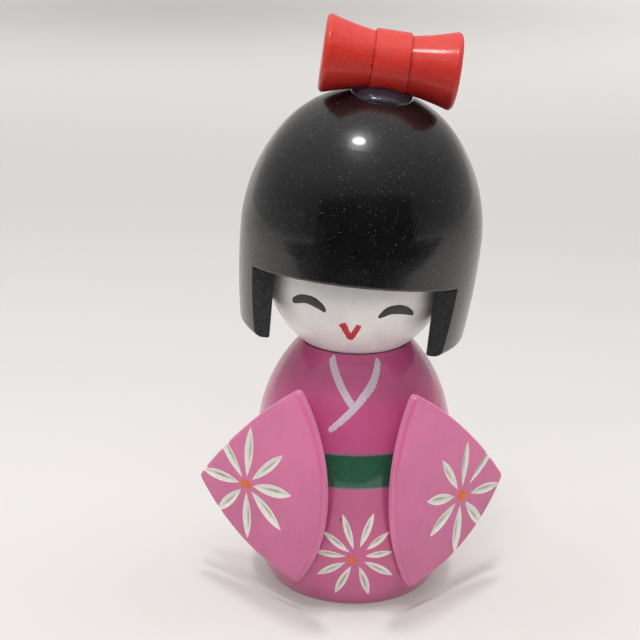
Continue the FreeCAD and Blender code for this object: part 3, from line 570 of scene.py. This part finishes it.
def add_piece(name, grid_top, grid_low, material, rides_on, closed=False):
    """A closed thin shell between two grids of points in mm; closed grids wrap round."""
    mesh = bpy.data.meshes.new(name)
    bm = bmesh.new()
    rows, columns = len(grid_top), len(grid_top[0])
    top = [[bm.verts.new(point * MM) for point in row] for row in grid_top]
    low = [[bm.verts.new(point * MM) for point in row] for row in grid_low]
    wrap = rows if closed else rows - 1
    for i in range(wrap):
        k = (i + 1) % rows
        for j in range(columns - 1):
            bm.faces.new((top[i][j], top[k][j], top[k][j + 1], top[i][j + 1]))
            bm.faces.new((low[i][j], low[i][j + 1], low[k][j + 1], low[k][j]))
        for j, flip in ((0, False), (columns - 1, True)):
            if closed and j == 0:
                continue
            quad = (top[i][j], low[i][j], low[k][j], top[k][j])
            bm.faces.new(quad[::-1] if flip else quad)
    if not closed:
        for i, flip in ((0, True), (rows - 1, False)):
            for j in range(columns - 1):
                quad = (top[i][j], low[i][j], low[i][j + 1], top[i][j + 1])
                bm.faces.new(quad[::-1] if flip else quad)
    merge_distance = 0.002 * MM
    bmesh.ops.remove_doubles(bm, verts=bm.verts, dist=merge_distance)
    bmesh.ops.dissolve_degenerate(bm, edges=bm.edges, dist=merge_distance)
    bmesh.ops.recalc_face_normals(bm, faces=bm.faces)
    bm.to_mesh(mesh)
    bm.free()
    mesh.shade_smooth()
    mesh.materials.append(material)
    piece = add_object(name, mesh)
    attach(piece, rides_on)
    return piece


def smooth_line(points, count, closed=False):
    """Points along a Catmull-Rom curve through the given ones."""
    points = [Vector(p) for p in points]
    spans = len(points) if closed else len(points) - 1
    result = []
    for index in range(count):
        place = index * spans / (count if closed else count - 1)
        span = min(int(place), spans - 1)
        t = place - span

        def pick(offset):
            i = span + offset
            return points[i % len(points)] if closed else points[max(0, min(len(points) - 1, i))]

        a, b, c, d = (pick(k) for k in (-1, 0, 1, 2))
        result.append(0.5 * (2 * b + (c - a) * t + (2 * a - 5 * b + 4 * c - d) * t ** 2
                             + (3 * b - a - 3 * c + d) * t ** 3))
    return result


# Steps across a layer of paint, along a stroke, and round and along an eye.
PAINT_COLUMNS, STROKE_STEPS = 8, 72
EYE_OUTLINE_POINTS, EYE_STEPS = 160, 60


def paint_between(name, upper, lower, surface, thickness, material, rides_on):
    """Paint on a surface between two chains of its own coordinates, thinning out at its edges."""
    top, low = [], []
    last = len(upper) - 1
    for i, (a, b) in enumerate(zip(upper, lower)):
        end = min(i, last - i) / last
        row_top, row_low = [], []
        for j in range(PAINT_COLUMNS + 1):
            s = j / PAINT_COLUMNS
            edge = 1 - abs(2 * s - 1) ** 5
            lift = thickness * edge * min(1.0, 12 * end) - EDGE_SINK
            point = a.lerp(b, s)
            row_top.append(surface(point.x, point.y, lift))
            row_low.append(surface(point.x, point.y, -UNDERSIDE_SINK))
        top.append(row_top)
        low.append(row_low)
    return add_piece(name, top, low, material, rides_on)


def brush_stroke(name, path, widths, scale, surface, thickness, material, rides_on,
                 rag, seed):
    """A stroke of paint along a path in surface coordinates; scale turns those into mm.

    The widths are in mm, and rag is how far the edges stray, as a part of the width.
    """
    line = smooth_line([(x * scale[0], y * scale[1], 0) for x, y in path], STROKE_STEPS)
    spread = smooth_line([(w, 0, 0) for w in widths], STROKE_STEPS)
    last = STROKE_STEPS - 1
    upper, lower = [], []
    for i, point in enumerate(line):
        ahead = line[min(i + 1, last)] - line[max(i - 1, 0)]
        sideways = Vector((-ahead.y, ahead.x, 0)).normalized()
        end = min(i, last - i) / last
        blunt = math.sqrt(max(0.0, 1 - (1 - min(1.0, end * 16)) ** 2))
        for chain, sign in ((upper, 1), (lower, -1)):
            ragged = 1 + rag * value_noise(Vector((i * 0.55, sign * 3.7, seed)))
            reach = point + sideways * sign * 0.5 * spread[i].x * blunt * ragged
            chain.append(Vector((reach.x / scale[0], reach.y / scale[1], 0)))
    return paint_between(name, upper, lower, surface, thickness, material, rides_on)


def face_surface(azimuth, elevation, lift):
    """A point of the face, in mm, from its two angles in degrees on the ball."""
    a, e = math.radians(azimuth), math.radians(elevation)
    ray = Vector((math.sin(a) * math.cos(e), -math.cos(a) * math.cos(e), math.sin(e)))
    return BALL_CENTRE + (BALL_RADIUS + lift) * (HEAD_LEAN @ ray)


def even_steps(points, steps):
    """Points at even distances along a chain."""
    lengths = [0.0]
    for a, b in zip(points, points[1:]):
        lengths.append(lengths[-1] + (b - a).length)
    last = len(lengths) - 1
    result = []
    for k in range(steps + 1):
        wanted = lengths[-1] * k / steps
        j = next((m for m in range(1, last + 1) if lengths[m] >= wanted), last)
        span = lengths[j] - lengths[j - 1]
        part = (wanted - lengths[j - 1]) / span if span else 0
        result.append(points[j - 1].lerp(points[j], part))
    return result


def eye(name, upper, lower, material):
    """A closed smiling eye: a crescent between two arched lines that share rounded ends."""
    count = EYE_OUTLINE_POINTS
    outline = smooth_line([(x, y, 0) for x, y in upper + lower[::-1]], count, closed=True)
    start = min(range(count), key=lambda i: outline[i].x)
    finish = max(range(count), key=lambda i: outline[i].x)

    def chain(step):
        points = [outline[start]]
        i = start
        while i != finish:
            i = (i + step) % count
            points.append(outline[i])
        return even_steps(points, EYE_STEPS)

    return paint_between(
        name, chain(1), chain(-1), face_surface, FACE_PAINT, material, "head")


# Places on the face are azimuth and elevation in degrees, and on the body azimuth and height.
eye_paint = paint_look("eye_paint", EYE_BLACK, roughness=0.45, patchy=0.14)
eye("left_eye",
    [(-43.6, -9.4), (-37, -4.9), (-28.5, -4), (-22.4, -6.8), (-19.4, -10.6)],
    [(-43.2, -13.4), (-33.6, -10.8), (-26.2, -11.8), (-20.3, -13.5)], eye_paint)
eye("right_eye",
    [(13.8, -10.4), (18.2, -5.4), (25.8, -4.1), (32.4, -6), (37.5, -10.2)],
    [(13.4, -13.3), (16.7, -13), (22.2, -11.1), (30.6, -11.9), (38.3, -13.3)], eye_paint)

face_degree = math.radians(BALL_RADIUS)
brush_stroke(
    "mouth",
    [(-8.9, -18.6), (-7.2, -22), (-4.6, -27), (-2.4, -30.4), (-0.6, -27), (1.3, -22), (2.4, -18.6)],
    [1.95, 1.7, 1.5, 1.55, 1.5, 1.4, 1.25], (face_degree, face_degree), face_surface, FACE_PAINT,
    paint_look("mouth_paint", MOUTH_RED, roughness=0.4, patchy=0.1), "head",
    rag=0.16, seed=5.0)

collar_paint = paint_look("collar_paint", COLLAR_WHITE, roughness=0.42, patchy=0.12)
collar_scale = (math.radians(18.0), 1.0)
brush_stroke(
    "collar_under", [(-25.3, 51.0), (-20.6, 49.4), (-14.6, 47.3), (-9.2, 45.3), (-2.0, 42.6)],
    [1.8, 2.0, 1.9, 1.8, 1.7], collar_scale, body_surface, COLLAR_UNDER_PAINT,
    collar_paint, "doll_body", rag=0.12, seed=1.0)
brush_stroke(
    "collar_over", [(20.9, 50.8), (17.4, 49.1), (12.9, 47.0), (8.4, 45.6), (4.3, 44.4),
                    (-3.2, 42.0), (-11.6, 39.5), (-16.9, 37.9)],
    [1.6, 1.8, 1.85, 1.8, 1.7, 1.55, 1.35, 1.1], collar_scale, body_surface, COLLAR_OVER_PAINT,
    collar_paint, "doll_body", rag=0.2, seed=2.0)

orange = paint_look("orange_paint", DOT_ORANGE, roughness=0.4, patchy=0.1)


def paint_dot(name, point_at, radii, seed):
    """A domed drop of orange paint; point_at turns offsets and a lift in mm into a place."""
    spokes, rings = 40, 7
    top, low = [], []
    for i in range(spokes):
        turn = 2 * math.pi * i / spokes
        wobble = 1 + 0.12 * value_noise(Vector((math.cos(turn) * 1.3, math.sin(turn) * 1.3, seed)))
        row_top, row_low = [], []
        for j in range(rings + 1):
            part = j / rings
            x = radii[0] * wobble * part * math.cos(turn)
            y = radii[1] * wobble * part * math.sin(turn)
            row_top.append(point_at(x, y, DOT_PAINT * (1 - part ** 3) - DOT_EDGE_SINK))
            row_low.append(point_at(x, y, -DOT_UNDERSIDE_SINK))
        top.append(row_top)
        low.append(row_low)
    return add_piece(name, top, low, orange, "doll_body", closed=True)


for node, (side, across, rise) in SLEEVE_FLOWERS.items():
    paint_dot(node.replace("sleeve", "flower_dot"),
              lambda x, y, lift, s=side, a=across + SLEEVE_DOT_SHIFT, h=rise:
              sleeve_point(s, a + x, h + y, lift),
              SLEEVE_DOT_RADII, seed=3.0 + side)
paint_dot("body_flower_dot",
          lambda x, y, lift: body_surface(BODY_DOT_PLACE[0] + math.degrees(x / BELLY_RADIUS),
                                          BODY_DOT_PLACE[1] + y, lift),
          BODY_DOT_RADII, seed=7.0)


def glue_drop():
    """The meniscus of clear glue in the corner between the knot and the crown."""
    crown = BALL_CENTRE + HEAD_LEAN @ Vector((0, 0, CROWN_HEIGHT))
    axis = (GLUE_CENTRE - crown).normalized()
    right = Vector((1, 0, 0))
    right = (right - axis * right.dot(axis)).normalized()
    back = axis.cross(right)
    spokes, rings = 72, 18
    top, low = [], []
    for i in range(spokes):
        turn = 2 * math.pi * i / spokes
        ripple = value_noise(Vector((math.cos(turn) * 1.6, math.sin(turn) * 1.6, 11.0)))
        widest = math.radians(GLUE_SPREAD * (1 + 0.05 * ripple))
        way = right * math.cos(turn) + back * math.sin(turn)
        row_top, row_low = [], []
        for j in range(rings + 1):
            part = j / rings
            ray = axis * math.cos(widest * part) + way * math.sin(widest * part)
            peak = GLUE_PEAK * (1 - part) ** 1.5
            skirt = GLUE_SKIRT * math.sqrt(1 - part ** 6)
            height = peak + skirt - GLUE_EDGE_SINK
            row_top.append(crown + ray * (CROWN_RADIUS + height))
            row_low.append(crown + ray * (CROWN_RADIUS - GLUE_UNDERSIDE_SINK))
        top.append(row_top)
        low.append(row_low)
    return add_piece("glue_drop", top, low, clear_glue_look(), "head", closed=True)


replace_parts(glue_drop(), "bow_glue")


# ---------------------------------------------------------------- camera, in metres
CAMERA_TILT, CAMERA_ROLL = math.radians(18.26), math.radians(0.74)
CAMERA_AIM, CAMERA_DISTANCE = Vector((0, 0, 0.060)), 0.280
CAMERA_LEFT, CAMERA_DOWN = 0.00726, 0.00502
FOCAL_LENGTH, SENSOR_WIDTH, CLIP_START = 78.75, 36, 0.01


def build_camera():
    """Above and in front of the doll, looking down at it, with a slight roll."""
    forward = Vector((0, math.cos(CAMERA_TILT), -math.sin(CAMERA_TILT)))
    up = Vector((0, math.sin(CAMERA_TILT), math.cos(CAMERA_TILT)))
    right = Vector((1, 0, 0))
    x_axis = right * math.cos(CAMERA_ROLL) + up * math.sin(CAMERA_ROLL)
    y_axis = up * math.cos(CAMERA_ROLL) - right * math.sin(CAMERA_ROLL)
    matrix = Matrix((x_axis, y_axis, -forward)).transposed().to_4x4()
    matrix.translation = (CAMERA_AIM - forward * CAMERA_DISTANCE - right * CAMERA_LEFT
                          - up * CAMERA_DOWN)
    data = bpy.data.cameras.new("camera")
    data.lens, data.sensor_width, data.clip_start = FOCAL_LENGTH, SENSOR_WIDTH, CLIP_START
    camera = add_object("camera", data)
    camera.matrix_world = matrix
    bpy.context.scene.camera = camera


build_camera()


# ---------------------------------------------------------------- stage and lights, in metres
# The paper runs from its front edge to the bend, and sweeps up behind the doll to its top.
SWEEP_HALF_WIDTH, SWEEP_FRONT, SWEEP_BEND, SWEEP_TOP = 1.6, -1.2, 1.5, 1.2
SWEEP_RADIUS, SWEEP_STEPS = 0.5, 12
# The card lies on the paper in front of the doll and rises behind the camera: its side edges,
# and its profile in y and z.
CARD_SIDES, CARD_PROFILE = (-0.6, 0.68), [(-0.128, 0.001), (-0.62, 0.001), (-0.62, 0.42)]
# Area lights: place, the place they point at, and size; powers are in watts.
BACK_ACROSS, BACK_BEHIND, BACK_HEIGHT = 0.3, 0.12, 0.62
BACK_AIM, BACK_SIZE, BACK_POWER = (0, 0, 0.03), (0.45, 0.45), 1.2
KEY_PLACE, KEY_AIM = (-0.071, -0.207, 0.66), (0, 0, 0.07)
KEY_SIZE, KEY_POWER = (0.12, 0.09), 1.15
FILL_PLACE, FILL_AIM = (0.0, -0.75, 0.75), (0, 0, 0.05)
FILL_SIZE, FILL_POWER = (1.2, 0.6), 2.3
# Lamps for the paper alone: their strength, how wide an angle they cover, and the directions
# that they shine from.
FLOOR_STRENGTH, FLOOR_ANGLE = 1.3, math.radians(8.0)
FLOOR_BACK_WAY, FLOOR_FRONT_WAY = (0, 0.16, 1), (0, -0.09, 1)
# The world's strength on the camera's side and behind the doll, and what the ceiling adds; the
# walls and the ceiling grade between these parts of a direction.
WORLD_FRONT, WORLD_BACK, WORLD_TOP = 0.12, 0.44, 0.34
WALLS_GRADE, CEILING_GRADE = (-0.9, 0.9), (0.35, 0.95)
# The paper's painted light and shade, in mm: where painted shade darkens its colour along a
# slanting line, where its painted glow rises behind the doll and how strong it gets, and the
# middle and reach of a patch of painted shade that dims the glow.
PAPER_PAINTED_SHADE_GRADE_WAY, PAPER_PAINTED_SHADE_GRADE = (0.25, 1, 0), (-150.0, 330.0)
PAINTED_GLOW_GRADE, PAINTED_GLOW_STRENGTH = (250.0, 1000.0), 0.34
PAINTED_SHADE_PATCH, PAINTED_SHADE_PATCH_REACH, PAINTED_SHADE_PATCH_STRENGTH = (-150, 1150, 0), 700.0, 0.95


def stage_look(name):
    """Pale paper, painted shade further back, painted glow far behind, less in a wide left patch.
    """
    look = Look(name)
    color = look.shade(PAPER_NEAR, look.noise(0.012, 3.0), 0.985, 1.015)
    # Painted shade darkens the paper further back; painted glow rises far behind, dimmed in the
    # patch.
    away = look.ramp(look.along(PAPER_PAINTED_SHADE_GRADE_WAY), *PAPER_PAINTED_SHADE_GRADE)
    color = look.blend(away, color, PAPER_PAINTED_SHADE_COLOR)
    far = look.ramp(look.along((0, 1, 0)), *PAINTED_GLOW_GRADE, 0.0, PAINTED_GLOW_STRENGTH)
    patch = look.ramp(look.distance(PAINTED_SHADE_PATCH), 0.0, PAINTED_SHADE_PATCH_REACH, PAINTED_SHADE_PATCH_STRENGTH, 0.0)
    return look.finish(
        Base_Color=color,
        Roughness=0.7,
        Specular_IOR_Level=0.2,
        Emission_Color=PAPER_PAINTED_GLOW,
        Emission_Strength=look.math("MULTIPLY", far, look.math("SUBTRACT", 1.0, patch)),
        Normal=look.bump(look.noise(1.5, 4.0), 0.01))


def add_strip(name, profile, sides, material):
    """A sheet between two side edges that follow a profile in y and z."""
    mesh = bpy.data.meshes.new(name)
    vertices = [(x, y, z) for y, z in profile for x in sides]
    faces = [(2 * i, 2 * i + 1, 2 * i + 3, 2 * i + 2) for i in range(len(profile) - 1)]
    mesh.from_pydata(vertices, [], faces)
    mesh.materials.append(material)
    return add_object(name, mesh)


def add_floor():
    """A sheet that runs back from the camera and sweeps up behind the doll."""
    profile = [(SWEEP_FRONT, 0.0), (SWEEP_BEND, 0.0)]
    for k in range(1, SWEEP_STEPS + 1):
        turn = math.radians(90 * k / SWEEP_STEPS)
        profile.append((SWEEP_BEND + SWEEP_RADIUS * math.sin(turn),
                        SWEEP_RADIUS - SWEEP_RADIUS * math.cos(turn)))
    profile.append((SWEEP_BEND + SWEEP_RADIUS, SWEEP_TOP))
    sides = (-SWEEP_HALF_WIDTH, SWEEP_HALF_WIDTH)
    sweep = add_strip("sweep", profile, sides, stage_look("sweep_paper"))
    sweep.data.shade_smooth()
    return sweep


floor = add_floor()


def area_light(name, place, target, size, power):
    """A soft oval lamp at a place, facing a target."""
    data = bpy.data.lights.new(name, "AREA")
    data.shape, data.size, data.size_y = "ELLIPSE", size[0], size[1]
    data.energy = power
    light = add_object(name, data)
    light.location = place
    way = Vector(target) - Vector(place)
    light.rotation_euler = way.to_track_quat("-Z", "Y").to_euler()
    return light


def hide_from(thing, *rays):
    """Keep a light or card out of some kinds of ray."""
    for ray in rays:
        setattr(thing, "visible_" + ray, False)


def add_dark_card():
    """Painted shade for the unlit side of the room in front of the table, which only reflections
    see.
    """
    look = Look("dark_room_shade")
    room_shade = look.finish(
        Base_Color=look.shade(CARD_BLACK, look.noise(0.02), 0.7, 1.2),
        Roughness=1.0,
        Specular_IOR_Level=0.0)
    card = add_strip("dark_card", CARD_PROFILE, CARD_SIDES, room_shade)
    hide_from(card, "camera", "diffuse", "transmission", "shadow")


add_dark_card()
for name, across in (("back_left", -BACK_ACROSS), ("back_right", BACK_ACROSS)):
    place = (across, BACK_BEHIND, BACK_HEIGHT)
    hide_from(area_light(name, place, BACK_AIM, BACK_SIZE, BACK_POWER), "glossy")
area_light("key", KEY_PLACE, KEY_AIM, KEY_SIZE, KEY_POWER)
hide_from(area_light("front_fill", FILL_PLACE, FILL_AIM, FILL_SIZE, FILL_POWER), "glossy")


def add_floor_light(name, way, blocked_by):
    """A high lamp that lights only the paper; the nodes that block it cast soft shadows."""
    data = bpy.data.lights.new(name, "SUN")
    data.energy, data.angle = FLOOR_STRENGTH, FLOOR_ANGLE
    light = add_object(name, data)
    light.rotation_euler = Vector(way).to_track_quat("Z", "Y").to_euler()
    lit, blockers = (bpy.data.collections.new(name + end) for end in ("_lit", "_blockers"))
    lit.objects.link(floor)
    for node in blocked_by:
        blockers.objects.link(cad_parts[node])
    light.light_linking.receiver_collection = lit
    light.light_linking.blocker_collection = blockers


add_floor_light("floor_back", FLOOR_BACK_WAY, ("left_sleeve", "right_sleeve"))
add_floor_light("floor_front", FLOOR_FRONT_WAY, ("body", "left_sleeve", "right_sleeve"))


def build_world():
    """Pale walls all round, dimmer on the camera's side, and a lighter ceiling."""
    world = bpy.data.worlds.new("world")
    bpy.context.scene.world = world
    world.use_nodes = True
    nodes, links = world.node_tree.nodes, world.node_tree.links
    parts = nodes.new("ShaderNodeSeparateXYZ")
    links.new(nodes.new("ShaderNodeTexCoord").outputs["Generated"], parts.inputs[0])

    def graded(*values):
        """A value, its low and high, and the low and high that it is turned into."""
        node = nodes.new("ShaderNodeMapRange")
        for socket, value in zip(node.inputs, values):
            connect(links, socket, value)
        return node.outputs[0]

    walls = graded(parts.outputs["Y"], *WALLS_GRADE, WORLD_FRONT, WORLD_BACK)
    ceiling = graded(parts.outputs["Z"], *CEILING_GRADE, 0.0, WORLD_TOP)
    total = nodes.new("ShaderNodeMath")
    total.operation = "ADD"
    links.new(walls, total.inputs[0])
    links.new(ceiling, total.inputs[1])
    background = nodes["Background"]
    background.inputs["Color"].default_value = WALL_WHITE
    links.new(total.outputs[0], background.inputs["Strength"])


build_world()
bpy.context.scene.view_settings.view_transform = "Standard"
